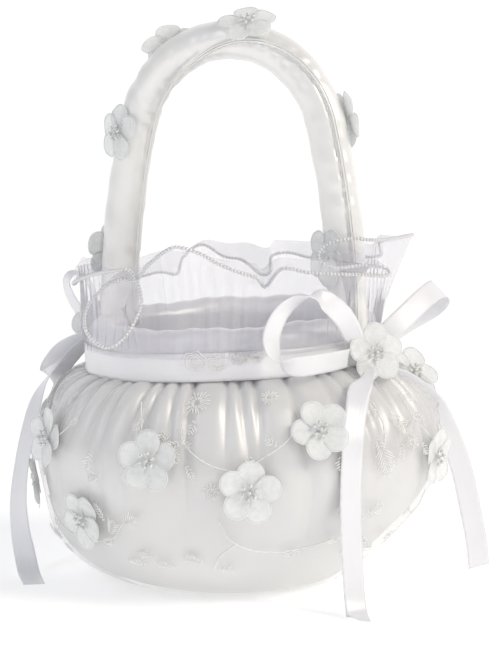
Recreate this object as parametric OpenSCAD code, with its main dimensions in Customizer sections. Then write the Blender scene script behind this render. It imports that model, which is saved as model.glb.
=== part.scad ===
// Flower girl basket: a round padded satin basket with a fixed arched handle,
// a sheer ruffle, two ribbon bows and sheer flowers with pearl centres.
// Origin: centre of the flat base, on the surface it stands on. +Z is up and
// the handle arch lies in the XZ plane. All sizes are in millimetres.

/* [Padded body] */
// Radius of the flat base
base_r = 52; // [46:1:58]
// Largest radius of the puffed body
belly_r = 118; // [110:1:122]
// Height of the widest ring
belly_z = 80; // [74:1:84]
// Radius of the cover where it is gathered under the rim ribbon
neck_r = 84; // [82:0.5:86]
// Height of the gathers, which is the lower edge of the rim ribbon
neck_z = 128; // [124:1:130]
// Top of the rolled rim
rim_z = 152; // [150:0.5:155]
// Radius of the mouth, inside the lining
mouth_r = 68; // [66:0.5:69]

/* [Handle] */
// Height of the middle of the tube at the top of the arch
handle_top = 316; // [300:1:330]
// Outside radius of the padded tube
handle_tube_r = 11.75; // [10:0.25:13]
// Radius of the arch's round top
handle_arch_r = 64; // [60:1:66]
// Radius of the stiff core rod
handle_core_r = 2.5; // [2:0.1:2.6]

/* [Ruffle] */
// Height of the ruffle's edge above the top of the rim ribbon
ruffle_h = 54; // [40:1:58]
// Mean radius of the ruffle's edge
ruffle_edge_r = 103; // [100:1:106]
// Number of flutes round the ruffle
ruffle_flutes = 11; // [8:1:14]
// How far each flute swings in and out at the edge
ruffle_swing = 8; // [4:0.5:9]

/* [Ribbons] */
// Width of the rim ribbon
rim_ribbon_w = 16; // [14:0.5:16]
// Width of the bow ribbon
bow_ribbon_w = 12.7; // [10:0.1:14]
// Thickness of a modelled ribbon
ribbon_t = 0.6; // [0.4:0.1:0.8]

/* [Flowers] */
// Width of a flower over its petals
flower_w = 34; // [28:1:36]
// Diameter of one pearl
pearl_d = 2.3; // [1.8:0.1:2.4]

/* [Hidden] */
$fn = 96;
fit_gap = 0.2;          // left between layers that lie on each other
cover_t = 1;            // satin of the outer cover
overlay_t = 0.5;        // sheer embroidered layer over the satin
board_t = 2;            // card base board
form_t = 2;             // rigid bowl inside the padding
lining_t = 0.8;         // satin lining
pad_t = 3;              // loose pad on the floor of the basket
lower_power = 1.7;      // how full the body is below its widest ring
upper_power = 1.8;      // how full the body is above it
outline_steps = 14;     // steps in each half of the body's outline

form_r = mouth_r + lining_t + fit_gap + form_t; // outside of the rigid bowl
form_base_r = 46;                               // its flat bottom
form_corner_h = 32;                             // height of its rounded corner
form_z = cover_t + fit_gap + board_t + fit_gap; // underside of the bowl
roll_r = (neck_r - mouth_r) / 2;                // the rim's padded roll
roll_mid = mouth_r + roll_r;                    // radius of the roll's middle
roll_z = rim_z - roll_r;                        // height of the roll's middle
ribbon_top = neck_z + rim_ribbon_w;

handle_turn = 76;       // angle from the top where the round arch meets a leg
leg_join_x = handle_arch_r * sin(handle_turn);
leg_join_z = handle_top - handle_arch_r * (1 - cos(handle_turn));
foot_z = rim_z + 0.3;   // where the padded tube stands on the rim
leg_r = (leg_join_z - foot_z) / cos(handle_turn); // long curve of each leg
foot_x = leg_join_x + leg_r * (1 - sin(handle_turn));
core_end_z = 96;        // lower end of the core, in its socket
socket_size = [7.6, 16, 26];

// Half of a rounded corner, from (0, 0) level to (1, 1) upright.
function corner(a, power) = [pow(sin(a), 2 / power), 1 - pow(cos(a), 2 / power)];

// Outline of the cover, moved inwards by t, from the base to the neck.
function cover_side(t) = concat(
  [for (i = [0 : outline_steps])
    let (c = corner(90 * i / outline_steps, lower_power))
    [base_r + (belly_r - base_r) * c[0] - t, t + (belly_z - t) * c[1]]],
  [for (i = [outline_steps - 1 : -1 : 0])
    let (c = corner(90 * i / outline_steps, upper_power))
    [neck_r + (belly_r - neck_r) * c[0] - t, neck_z - (neck_z - belly_z) * c[1]]]);

// Radius of the cover's outside at height z.
function cover_r(z) = z < belly_z
  ? base_r + (belly_r - base_r)
    * pow(1 - pow(1 - z / belly_z, lower_power), 1 / lower_power)
  : neck_r + (belly_r - neck_r)
    * pow(1 - pow((z - belly_z) / (neck_z - belly_z), upper_power), 1 / upper_power);

// Angle by which the cover's outside faces up at height z.
function cover_tilt(z) = -atan((cover_r(z + 1) - cover_r(z - 1)) / 2);

// Outline of the rigid bowl's outside, moved inwards by t.
function form_side(t) = concat(
  [for (i = [0 : outline_steps])
    let (c = corner(90 * i / outline_steps, 2))
    [form_base_r + (form_r - form_base_r) * c[0] - t,
     form_z + t + (form_corner_h - t) * c[1]]]);

// Half circle over the rim's roll, from the mouth side to the outer side.
function roll_side(r) = [for (i = [0 : outline_steps])
  [roll_mid - r * cos(180 * i / outline_steps), roll_z + r * sin(180 * i / outline_steps)]];

function reversed(list) = [for (i = [len(list) - 1 : -1 : 0]) list[i]];
function unit(v) = v / norm(v);
function about_z(r, azimuth, z) = [r * cos(azimuth), r * sin(azimuth), z];

// Point on the handle's middle line at an angle from the top, in degrees.
function arch_point(a) = abs(a) <= handle_turn
  ? [handle_arch_r * sin(a), 0, handle_top - handle_arch_r * (1 - cos(a))]
  : [sign(a) * (leg_join_x + leg_r * (sin(abs(a)) - sin(handle_turn))), 0,
     leg_join_z - leg_r * (cos(handle_turn) - cos(a))];

// Point on the ruffle's sheet at an azimuth, with v from its foot to its edge.
ruffle_foot_r = neck_r + 3.2;
ruffle_foot_z = ribbon_top + 0.3;
function ruffle_point(azimuth, v) = about_z(
  ruffle_foot_r + (ruffle_edge_r - ruffle_foot_r) * v
    + ruffle_swing * v * v * sin(ruffle_flutes * azimuth),
  azimuth,
  ruffle_foot_z + ruffle_h * v + 3 * v * v * cos(2 * azimuth + 40));

// Corners of a flat strip's section at each point of a path. sides[i] is the
// direction of the strip's width there.
function strip_rings(path, sides, width, thick) = [for (i = [0 : len(path) - 1])
  let (along = unit(path[min(i + 1, len(path) - 1)] - path[max(i - 1, 0)]),
       side = unit(sides[i] - (sides[i] * along) * along),
       face = cross(along, side))
  [for (c = [[-1, -1], [1, -1], [1, 1], [-1, 1]])
    path[i] + side * c[0] * width / 2 + face * c[1] * thick / 2]];

// Closed skin over a row of rings with the same number of corners.
module skin(rings) {
  n = len(rings[0]);
  last = len(rings) - 1;
  polyhedron(
    points = [for (ring = rings) each ring],
    faces = concat(
      [[for (k = [0 : n - 1]) k]],
      [for (i = [0 : last - 1], k = [0 : n - 1])
        each [[i * n + k, (i + 1) * n + k, (i + 1) * n + (k + 1) % n],
              [i * n + k, (i + 1) * n + (k + 1) % n, i * n + (k + 1) % n]]],
      [[for (k = [n - 1 : -1 : 0]) last * n + k]]));
}

// Skin over rings that run all the way round and meet themselves.
module round_skin(rings) {
  n = len(rings[0]);
  count = len(rings);
  polyhedron(
    points = [for (ring = rings) each ring],
    faces = [for (i = [0 : count - 1], k = [0 : n - 1])
      let (a = i * n, b = ((i + 1) % count) * n, next = (k + 1) % n)
      each [[a + k, b + k, b + next], [a + k, b + next, a + next]]]);
}

// Where the core rod of each handle leg runs down into the wall.
module core_holes() {
  for (side = [-1, 1])
    translate([side * foot_x, 0, core_end_z - 1])
      cylinder(r = handle_core_r + fit_gap, h = rim_z + 10 - core_end_z);
}

// ---- Body ----

module base_board() {
  color("tan")
    translate([0, 0, cover_t + fit_gap])
      cylinder(r = form_base_r, h = board_t);
}

module basket_form() {
  form_top = roll_z - 2;
  color("wheat")
    rotate_extrude()
      polygon(concat([[0, form_z]], form_side(0), [[form_r, form_top], [form_r - form_t, form_top]],
        reversed(form_side(form_t)), [[0, form_z + form_t]]));
}

module wadding() {
  pad_top = roll_z - 1;
  inset = cover_t + fit_gap;
  color("white")
    difference() {
      rotate_extrude()
        polygon(concat([[form_base_r + 0.4, inset]], cover_side(inset),
          [[neck_r - inset, pad_top], [form_r + fit_gap, pad_top]],
          reversed(form_side(-fit_gap)), [[form_base_r + 0.4, form_z - fit_gap]]));
      core_holes();
      for (side = [-1, 1])
        translate([side * foot_x, 0, core_end_z + socket_size[2] / 2 - 3])
          cube([socket_size[0] + 1, socket_size[1] + 0.6, socket_size[2] + 0.6], center = true);
    }
}

module satin_cover() {
  cover_top = roll_z - 0.4;
  color("ivory")
    rotate_extrude()
      polygon(concat([[0, 0]], cover_side(0), [[neck_r, cover_top], [neck_r - cover_t, cover_top]],
        reversed(cover_side(cover_t)), [[0, cover_t]]));
}

module organza_overlay() {
  lowest = 3;
  inner = [for (p = cover_side(-fit_gap)) if (p[1] > lowest) p];
  outer = [for (p = cover_side(-fit_gap - overlay_t)) if (p[1] > lowest) p];
  color("white", 0.4)
    rotate_extrude()
      polygon(concat(inner, reversed(outer)));
}

module satin_lining() {
  inner_t = form_t + fit_gap;
  color("lavenderblush")
    difference() {
      rotate_extrude()
        polygon(concat([[0, form_z + inner_t + lining_t]], reversed(reversed(form_side(inner_t + lining_t))),
          roll_side(roll_r), reversed(roll_side(roll_r - lining_t)),
          reversed(form_side(inner_t)), [[0, form_z + inner_t]]));
      core_holes();
    }
}

module floor_pad() {
  color("ivory")
    translate([0, 0, form_z + form_t + fit_gap + lining_t + fit_gap])
      cylinder(r = form_base_r - 4, h = pad_t);
}

module rim_wire() {
  wire_r = 1.2;
  color("silver")
    rotate_extrude()
      translate([roll_mid + roll_r - lining_t - wire_r - 1.2, roll_z + 1.6])
        circle(r = wire_r, $fn = 24);
}

module rim_ribbon() {
  color("white")
    translate([0, 0, neck_z])
      difference() {
        cylinder(r = neck_r + 0.9 + ribbon_t, h = rim_ribbon_w);
        translate([0, 0, -1]) cylinder(r = neck_r + 0.9, h = rim_ribbon_w + 2);
      }
}

// ---- Ruffle ----

module ruffle() {
  steps = 132;
  rows = 6;
  half_t = 0.35;
  rings = [for (i = [0 : steps - 1])
    let (azimuth = 360 * i / steps, out = about_z(half_t, azimuth, 0))
    concat([for (j = [0 : rows]) ruffle_point(azimuth, j / rows) + out],
           [for (j = [rows : -1 : 0]) ruffle_point(azimuth, j / rows) - out])];
  color("white", 0.4) round_skin(rings);
}

module ruffle_bead_edge() {
  steps = 132;
  sides = 6;
  bead_r = 1.2;
  rings = [for (i = [0 : steps - 1])
    let (azimuth = 360 * i / steps,
         middle = ruffle_point(azimuth, 1) + [0, 0, bead_r + 0.1],
         out = about_z(1, azimuth, 0))
    [for (k = [0 : sides - 1])
      middle + out * bead_r * cos(360 * k / sides) + [0, 0, bead_r * sin(360 * k / sides)]]];
  color("white") round_skin(rings);
}

// ---- Handle ----

// Sweeps a flat section along part of a circle in the XZ plane, anticlockwise
// from a start angle.
module bend(centre_x, centre_z, r, start, angle) {
  translate([centre_x, 0, centre_z])
    rotate([90, 0, 0])
      rotate([0, 0, start])
        rotate_extrude(angle = angle)
          translate([r, 0]) children();
}

// Sweeps a flat section up one leg, over the arch and down the other leg, in
// three lengths that butt at a hair's gap.
module along_handle() {
  leg_angle = 90 - handle_turn;
  gap_angle = 0.03;
  bend(foot_x - leg_r, foot_z, leg_r, 0, leg_angle) children();
  bend(0, handle_top - handle_arch_r, handle_arch_r,
    leg_angle + gap_angle, 2 * (handle_turn - gap_angle)) children();
  bend(leg_r - foot_x, foot_z, leg_r, 180 - leg_angle, leg_angle) children();
}

module handle_core() {
  color("dimgray") {
    along_handle() circle(r = handle_core_r, $fn = 32);
    for (side = [-1, 1])
      translate([side * foot_x, 0, core_end_z])
        cylinder(r = handle_core_r, h = foot_z - core_end_z - 0.03, $fn = 32);
  }
}

module handle_padding() {
  color("white")
    along_handle()
      difference() {
        circle(r = handle_tube_r - cover_t - fit_gap);
        circle(r = handle_core_r + fit_gap, $fn = 32);
      }
}

module handle_cover() {
  color("ivory")
    along_handle()
      difference() {
        circle(r = handle_tube_r);
        circle(r = handle_tube_r - cover_t);
      }
}

module handle_piping() {
  piping_r = 0.9;
  color("white")
    along_handle()
      translate([0, handle_tube_r + piping_r + 0.05]) circle(r = piping_r, $fn = 24);
}

module handle_socket(side) {
  color("tan")
    difference() {
      translate([side * foot_x, 0, core_end_z + socket_size[2] / 2 - 3])
        cube([socket_size[0], socket_size[1], socket_size[2]], center = true);
      core_holes();
      translate([0, 0, core_end_z - 10]) cylinder(r = form_r + fit_gap, h = 60);
    }
}

module handle_socket_right() { handle_socket(1); }
module handle_socket_left() { handle_socket(-1); }

// ---- Flowers ----

module flower() {
  petal_r = flower_w * 0.19;
  reach = flower_w / 2 - petal_r;
  sheet_t = 1;
  color("honeydew", 0.8)
    linear_extrude(sheet_t) {
      circle(r = flower_w * 0.14, $fn = 40);
      for (k = [0 : 4])
        rotate(72 * k) translate([reach, 0]) circle(r = petal_r, $fn = 40);
    }
}

// One pearl with six more round it, standing on the flower's middle.
module pearls() {
  lift = 1.05 + pearl_d / 2;
  color("gainsboro") {
    translate([0, 0, lift]) sphere(d = pearl_d, $fn = 24);
    for (k = [0 : 5])
      rotate(60 * k) translate([pearl_d * 1.08, 0, lift]) sphere(d = pearl_d, $fn = 24);
  }
}

// Angle round the body and height of each flower on it.
body_flowers = [[-128, 89], [-116, 44], [-87, 82], [-57, 64], [-34, 96], [14, 76], [42, 112],
  [60, 52], [84, 92], [108, 56], [134, 90], [158, 50], [188, 94], [208, 58]];

// Angle along the arch from its top, and how far the flower turns to the front.
handle_flowers = [[-77, 70], [11, 48], [-40, -35], [74, -50], [-85, -35], [85, 112]];

module on_body(place) {
  azimuth = place[0];
  z = place[1];
  tilt = cover_tilt(z);
  rotate([0, 0, azimuth])
    translate([cover_r(z), 0, z])
      rotate([0, 90 - tilt, 0])
        translate([0, 0, 1.1]) children();
}

module on_handle(place) {
  translate(arch_point(place[0]))
    rotate([0, place[0], 0])
      rotate([place[1], 0, 0])
        translate([0, 0, handle_tube_r + 2.2]) children();
}

module body_flower(i) { on_body(body_flowers[i]) rotate(25 * i) flower(); }
module handle_flower(i) { on_handle(handle_flowers[i]) rotate(33 * i) flower(); }
module body_pearls() { for (place = body_flowers) on_body(place) pearls(); }
module handle_pearls() { for (place = handle_flowers) on_handle(place) pearls(); }

// ---- Bows ----
// Both bows are alike. The left one is the right one turned half way round.

knot_r = neck_r + 8;
knot_z = neck_z + 8;
knot_size = [8, 11, 12];
loop_start_r = knot_r + 5;   // both ends of a loop start beside the knot
loop_start_turn = 5;
loop_ends_gap = 2.4;         // between the two ends of one loop
flower_lean = 30;            // the bow's flower leans back to clear the shoulder

// Loop that runs out from the knot towards an azimuth and back to the knot.
function loop_path(azimuth, reach_r, lift, open) = [for (i = [0 : 20])
  let (a = 18 * i, away = (1 - cos(a)) / 2,
       apart = loop_ends_gap * cos(a / 2) / 2 + 0.2 * open * sin(a))
  about_z(loop_start_r + (reach_r - loop_start_r) * away + apart,
    sign(azimuth) * loop_start_turn + azimuth * away, knot_z + lift * away + open * sin(a) / 2)];

module loop(azimuth, reach_r, lift, open, lean) {
  path = loop_path(azimuth, reach_r, lift, open);
  color("white")
    skin(strip_rings(path, [for (p = path) [lean * p[0], lean * p[1], 60]],
      bow_ribbon_w, ribbon_t));
}

// Tail that runs over the shoulder at an azimuth and then hangs to the floor.
function tail_path(azimuth, route) = [for (p = route)
  let (away = min(1, (p[0] - route[0][0]) / 30))
  about_z(p[0], azimuth * (0.2 + 0.8 * pow(away, 0.6)), p[1])];

module tail(azimuth, route) {
  path = tail_path(azimuth, route);
  color("white")
    skin(strip_rings(path, [for (p = path) [-p[1], p[0], 0]], bow_ribbon_w, ribbon_t));
}

// Radius and height along each tail, from the knot down.
near_route = [[98, 127], [102, 124.5], [106.5, 121], [111, 116.5], [115.5, 110], [119, 102], [121, 93],
  [122, 82], [122.5, 66], [123, 50], [123.5, 34], [124.5, 20], [126.5, 10], [130, 4], [135, 1.6],
  [142, 0.8]];
far_route = [[98, 127], [102, 125], [106.5, 122], [111, 118.5], [116, 113.5], [121, 107], [125.5, 98],
  [130, 86], [135, 72], [140, 56], [144, 38], [146.5, 20], [148, 4.5]];
left_route = [[98, 127], [102, 125], [106.5, 121.5], [111, 117.5], [115.5, 111.5], [119.5, 103], [122.5, 92],
  [125.5, 78], [127.5, 62], [128.5, 44], [128, 26], [126.5, 12], [128, 4.5], [134, 1.5], [143, 0.8],
  [152, 0.8]];

module knot() {
  color("white")
    difference() {
      translate([knot_r, 0, knot_z]) cube(knot_size, center = true);
      translate([0, 0, neck_z - 10]) cylinder(r = neck_r + 1.2 + ribbon_t, h = 40);
    }
}

module on_knot() {
  translate([knot_r + knot_size[0] / 2 + 8, 0, knot_z + 3])
    rotate([0, 90 - flower_lean, 0]) children();
}

module half_turn() { rotate([0, 0, 180]) children(); }

module bow_right_knot() { knot(); }
module bow_right_loop_front() { loop(-40, 106, 20, 12, -0.3); }
module bow_right_loop_back() { loop(34, 122, 28, 11, -0.3); }
module bow_right_tail_front() { tail(-25, near_route); }
module bow_right_tail_back() { tail(27, far_route); }
module bow_right_flower() { on_knot() flower(); }
module bow_right_pearls() { on_knot() pearls(); }
module bow_left_knot() { half_turn() knot(); }
module bow_left_loop_front() { half_turn() loop(34, 124, 20, 10, -0.3); }
module bow_left_loop_back() { half_turn() loop(-40, 106, 20, 12, -0.3); }
module bow_left_tail_front() { half_turn() tail(27, left_route); }
module bow_left_tail_back() { half_turn() tail(-25, near_route); }
module bow_left_flower() { half_turn() on_knot() flower(); }
module bow_left_pearls() { half_turn() on_knot() pearls(); }

// ---- Assembly ----

function numbered(stem, count) = [for (i = [1 : count]) str(stem, i < 10 ? "_0" : "_", i)];
body_flower_names = numbered("body_flower", len(body_flowers));
handle_flower_names = numbered("handle_flower", len(handle_flowers));

base_board();
basket_form();
wadding();
satin_cover();
organza_overlay();
satin_lining();
floor_pad();
rim_wire();
rim_ribbon();
ruffle();
ruffle_bead_edge();
handle_core();
handle_padding();
handle_cover();
handle_piping();
handle_socket_right();
handle_socket_left();
bow_right_knot();
bow_right_loop_front();
bow_right_loop_back();
bow_right_tail_front();
bow_right_tail_back();
bow_right_flower();
bow_right_pearls();
bow_left_knot();
bow_left_loop_front();
bow_left_loop_back();
bow_left_tail_front();
bow_left_tail_back();
bow_left_flower();
bow_left_pearls();
body_pearls();
handle_pearls();
for (i = [0 : len(body_flowers) - 1])
  body_flower(i);
for (i = [0 : len(handle_flowers) - 1])
  handle_flower(i);
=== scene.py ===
import math

import bpy
import numpy as np
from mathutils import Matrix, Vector


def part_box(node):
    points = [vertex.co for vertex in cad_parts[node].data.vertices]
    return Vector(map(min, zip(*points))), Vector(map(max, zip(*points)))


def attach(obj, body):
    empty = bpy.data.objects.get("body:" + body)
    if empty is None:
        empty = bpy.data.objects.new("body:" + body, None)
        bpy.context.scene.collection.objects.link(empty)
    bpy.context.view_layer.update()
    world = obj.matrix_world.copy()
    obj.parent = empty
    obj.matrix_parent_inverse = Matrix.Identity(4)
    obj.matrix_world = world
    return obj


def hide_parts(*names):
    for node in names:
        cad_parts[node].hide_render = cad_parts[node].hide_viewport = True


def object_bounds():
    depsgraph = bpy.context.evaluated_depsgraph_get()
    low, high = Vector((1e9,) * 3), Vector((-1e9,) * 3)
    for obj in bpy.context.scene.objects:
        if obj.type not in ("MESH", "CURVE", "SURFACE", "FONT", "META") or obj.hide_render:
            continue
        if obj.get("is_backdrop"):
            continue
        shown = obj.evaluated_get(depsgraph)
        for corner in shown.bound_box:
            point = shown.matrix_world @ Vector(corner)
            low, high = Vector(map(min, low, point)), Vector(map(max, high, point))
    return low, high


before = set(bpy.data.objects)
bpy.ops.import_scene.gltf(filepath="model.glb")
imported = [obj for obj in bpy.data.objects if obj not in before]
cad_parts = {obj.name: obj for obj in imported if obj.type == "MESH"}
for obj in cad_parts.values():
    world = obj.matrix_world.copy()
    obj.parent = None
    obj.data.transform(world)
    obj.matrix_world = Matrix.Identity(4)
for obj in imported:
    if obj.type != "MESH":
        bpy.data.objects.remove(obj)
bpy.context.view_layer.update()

MM = 0.001


# ---- Card and wire inside the basket -------------------------------------------------
# A grey card base board, a pressed paper bowl and two glued card sockets make
# the stiff inside. A steel hoop and a steel core rod hold the rim and handle.

def linear(hex_colour, alpha=1.0):
    """A colour written as sRGB hex, turned to the linear colour that shaders take."""
    parts = [int(hex_colour[i:i + 2], 16) / 255 for i in (0, 2, 4)]
    return [c / 12.92 if c <= 0.04045 else ((c + 0.055) / 1.055) ** 2.4 for c in parts] + [alpha]


def new_material(name):
    made = bpy.data.materials.new(name)
    made.use_nodes = True
    made.node_tree.nodes.clear()
    return made


def add_node(material, kind, inputs=(), **settings):
    """Adds one shader node. An input is a value, or another node's output to link."""
    made = material.node_tree.nodes.new("ShaderNode" + kind)
    for name, value in settings.items():
        setattr(made, name, value)
    for name, value in dict(inputs).items():
        if isinstance(value, bpy.types.NodeSocket):
            material.node_tree.links.new(value, made.inputs[name])
        else:
            made.inputs[name].default_value = value
    return made


def mottled(name, light, dark, grain, skin, relief=None, gloss=None):
    """A finish whose tone wanders between two colours with a fine grain. relief is the strength and
    depth of that grain as a bump, and gloss the two roughnesses that it wanders between."""
    made = new_material(name)
    where = add_node(made, "TexCoord").outputs["Object"]
    noise = add_node(made, "TexNoise", {"Vector": where, **grain}).outputs["Fac"]
    tint = add_node(made, "Mix", {0: noise, 6: linear(dark), 7: linear(light)}, data_type="RGBA")
    skin = {"Base Color": tint.outputs[2], **skin}
    if relief:
        bump = add_node(made, "Bump", {"Height": noise, "Strength": relief[0], "Distance": relief[1]})
        skin["Normal"] = bump.outputs[0]
    if gloss:
        skin["Roughness"] = add_node(made, "MapRange", {"Value": noise, 3: gloss[0], 4: gloss[1]}).outputs[0]
    add_node(made, "OutputMaterial", {"Surface": add_node(made, "BsdfPrincipled", skin).outputs[0]})
    return made


def paper_board(name, light, dark):
    """Pressed paper: matt, with short pale fibres about 2 mm long in it."""
    return mottled(name, light, dark, {"Scale": 500, "Detail": 6, "Roughness": 0.7}, {"Roughness": 0.92},
                   relief=(0.3, 0.0003))


def dress(piece, material):
    piece.data.materials.clear()
    piece.data.materials.append(material)


card = paper_board("grey_card", "b9b1a3", "8f8675")
pressed_board = paper_board("pressed_board", "cdbf9f", "ab9a76")
# Drawn steel wire is bare metal, with fine marks along it from the die.
steel_wire = mottled("drawn_steel", "a9abae", "8c8d90", {"Scale": 900, "Detail": 3}, {"Metallic": 1.0},
                     gloss=(0.28, 0.5))
for node_name in ("base_board", "handle_socket_right", "handle_socket_left"):
    dress(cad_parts[node_name], card)
dress(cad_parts["basket_form"], pressed_board)
for node_name in ("rim_wire", "handle_core"):
    dress(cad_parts[node_name], steel_wire)


# ---- Satin cover ---------------------------------------------------------------------
# Ivory polyester satin, cut as a wide tube, gathered by running stitches under
# the rim ribbon and puffed out by the wadding. Its pleats fan from the neck.

VIEW_TURN = 28            # where the front is, in degrees from -Y
belly_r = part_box("satin_cover")[1][0]
neck_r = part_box("rim_ribbon")[1][0] - 1.5 * MM
neck_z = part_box("rim_ribbon")[0][2]
base_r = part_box("base_board")[1][0] + 6 * MM
belly_z = 80 * MM
cover_top_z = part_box("satin_cover")[1][2]
NECK_SWAY = 4.2 * MM      # how far the soft neck rides up on one side and down on the other
GATHER_MAX = 8.5 * MM     # the depth that gathers running together come near and never pass
LOW_SPAN, HIGH_SPAN = 0.55, 0.45    # the profile's shares under and over the belly
LOW_FULL, HIGH_FULL = 1.7, 1.8      # how full the profile's curves are there; 2 is an ellipse
SATIN_THICK = 0.5 * MM    # the cloth is drawn thicker than its real 0.2 mm, so that it closes well


def ease(low, high, x):
    """0 below low and 1 above high, with a smooth rise between."""
    t = np.clip((np.asarray(x, float) - low) / (high - low), 0, 1)
    return t * t * (3 - 2 * t)


def turned(azimuth):
    """Azimuth in degrees from the front, right side positive."""
    return (np.asarray(azimuth, float) + 90 - VIEW_TURN + 180) % 360 - 180


def neck_lift(azimuth):
    """How far the neck rides up at an azimuth."""
    return NECK_SWAY * np.sin(np.radians(turned(azimuth)))


# Each gather: where it starts at the neck, how far down it runs, how deep it
# is, and how it drifts sideways as it runs, in degrees and millimetres.
gather_rng = np.random.default_rng(11)
gathers = []
for start in np.arange(-180, 180, 7.4):
    gathers.append((start + gather_rng.uniform(-2, 2), gather_rng.uniform(42, 88),
                    gather_rng.uniform(3.2, 6.4), gather_rng.uniform(-4, 4)))
long_gathers = [(-13, 88, 6.4, 1.5), (21, 92, 6.8, 2.5), (9, 56, 6.6, 0), (-44, 84, 6.2, -4),
                (-30, 74, 6.0, -3), (-60, 76, 6.4, -6), (-72, 70, 5.6, -6), (40, 64, 6.0, 4),
                (66, 76, 6.0, 5), (150, 80, 6.2, 2), (-150, 74, 6.2, -3), (100, 70, 6.0, 3),
                (-105, 78, 6.0, -2)]
gathers = [g for g in gathers if min(abs(g[0] - k[0]) for k in long_gathers) > 4.5] + long_gathers


def gather_depth(azimuth, z):
    """How far the gathers draw the satin in at a place, in metres."""
    view = turned(azimuth)
    drop = (neck_z - z) / MM
    inward = np.zeros(np.broadcast(view, z).shape)
    for start, run, depth, drift in gathers:
        along = np.clip(drop / run, 0, 1)
        away = (view - start - drift * along + 180) % 360 - 180
        width = 1.0 + 2.3 * along
        fade = (1 - along) ** 0.62 * (0.5 + 0.5 * ease(-2, 12, drop))
        inward += depth * fade * np.exp(-(np.abs(away) / width) ** 1.25)
    return GATHER_MAX * np.tanh(inward / (GATHER_MAX / MM))


def cover_profile(t):
    """Radius and height of the cover, from its base edge, 0, to the neck, 1."""
    low = np.radians(90 * np.clip(t / LOW_SPAN, 0, 1))
    high = np.radians(90 * np.clip((1 - t) / HIGH_SPAN, 0, 1))
    r_low = base_r + (belly_r - base_r) * np.sin(low) ** (2 / LOW_FULL)
    z_low = belly_z * (1 - np.abs(np.cos(low)) ** (2 / LOW_FULL))
    r_high = neck_r + (belly_r - neck_r) * np.sin(high) ** (2 / HIGH_FULL)
    z_high = neck_z - (neck_z - belly_z) * (1 - np.abs(np.cos(high)) ** (2 / HIGH_FULL))
    lower = t < LOW_SPAN
    return np.where(lower, r_low, r_high), np.where(lower, z_low, z_high)


def height_to_t(z):
    """The profile's parameter at a height."""
    if z < belly_z:
        return LOW_SPAN * math.degrees(math.acos((1 - z / belly_z) ** (LOW_FULL / 2))) / 90
    share = min(1, (z - belly_z) / (neck_z - belly_z))
    return 1 - HIGH_SPAN * math.degrees(math.acos(share ** (HIGH_FULL / 2))) / 90


def cover_at(azimuth, t, out=0.0, pleats=1.0):
    """Points on the cover, moved out along its smooth normal. pleats scales the gathers."""
    azimuth, t = np.broadcast_arrays(np.asarray(azimuth, float), np.asarray(t, float))
    r, z = cover_profile(t)
    step = 1e-3
    r2, z2 = cover_profile(np.minimum(t + step, 1))
    r1, z1 = cover_profile(np.maximum(t - step, 0))
    dr, dz = r2 - r1, z2 - z1
    size = np.hypot(dr, dz) + 1e-12
    out_r, out_z = dz / size, -dr / size
    view = np.radians(turned(azimuth))
    below_neck = 1 - ease(0.1, 0.125, z)
    lean = (5 * ease(0.02, 0.07, z) - 6 * ease(0.055, 0.012, z) * ease(0.0, 0.012, z)) * below_neck
    lumps = (1.3 * np.sin(3 * view + 1.1) * np.sin(z * 46) + 0.8 * np.sin(5 * view + 2.3 + z * 30)) * MM
    lumps = lumps * ease(0.004, 0.03, z) * below_neck
    inward = pleats * gather_depth(azimuth, z) * ease(0.012, 0.035, z)
    push = out - inward + lumps
    r = r + out_r * push + lean * MM * np.sin(view)
    z = np.maximum(z + out_z * push, out) + neck_lift(azimuth) * ease(0.085, 0.125, z)
    a = np.radians(azimuth)
    return np.stack([r * np.cos(a), r * np.sin(a), z], axis=-1)


def grid_mesh(name, rows, round_it=True, cap_low=False):
    """A mesh over rows of points. UV is the distance along and across the cloth, in metres."""
    rows = np.asarray(rows)
    high, wide = rows.shape[:2]
    across = np.concatenate([[0], np.cumsum(np.linalg.norm(np.diff(rows, axis=0), axis=2).mean(axis=1))])
    middle = rows[high // 2]
    along = np.concatenate([[0], np.cumsum(np.linalg.norm(np.roll(middle, -1, 0) - middle, axis=1))])
    faces = []
    spans = wide if round_it else wide - 1
    for i in range(high - 1):
        for j in range(spans):
            k = (j + 1) % wide
            faces.append((i * wide + j, i * wide + k, (i + 1) * wide + k, (i + 1) * wide + j))
    points = rows.reshape(-1, 3)
    mesh = bpy.data.meshes.new(name)
    if cap_low:
        faces.append(tuple(range(wide - 1, -1, -1)))
    mesh.from_pydata(points.tolist(), [], faces)
    layer = mesh.uv_layers.new(name="cloth")
    uv = []
    for i in range(high - 1):
        for j in range(spans):
            uv += [(along[j], across[i]), (along[j + 1], across[i]),
                   (along[j + 1], across[i + 1]), (along[j], across[i + 1])]
    if cap_low:
        uv += [(p[0], p[1]) for p in points[wide - 1::-1].tolist()]
    layer.data.foreach_set("uv", np.asarray(uv).ravel())
    mesh.validate()
    piece = bpy.data.objects.new(name, mesh)
    bpy.context.collection.objects.link(piece)
    mesh.polygons.foreach_set("use_smooth", [True] * len(mesh.polygons))
    return piece


def only(piece):
    bpy.ops.object.select_all(action="DESELECT")
    piece.select_set(True)
    bpy.context.view_layer.objects.active = piece


def thicken(piece, thickness, offset=-1):
    only(piece)
    wall = piece.modifiers.new("wall", "SOLIDIFY")
    wall.thickness = thickness
    wall.offset = offset
    bpy.ops.object.modifier_apply(modifier=wall.name)


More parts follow.
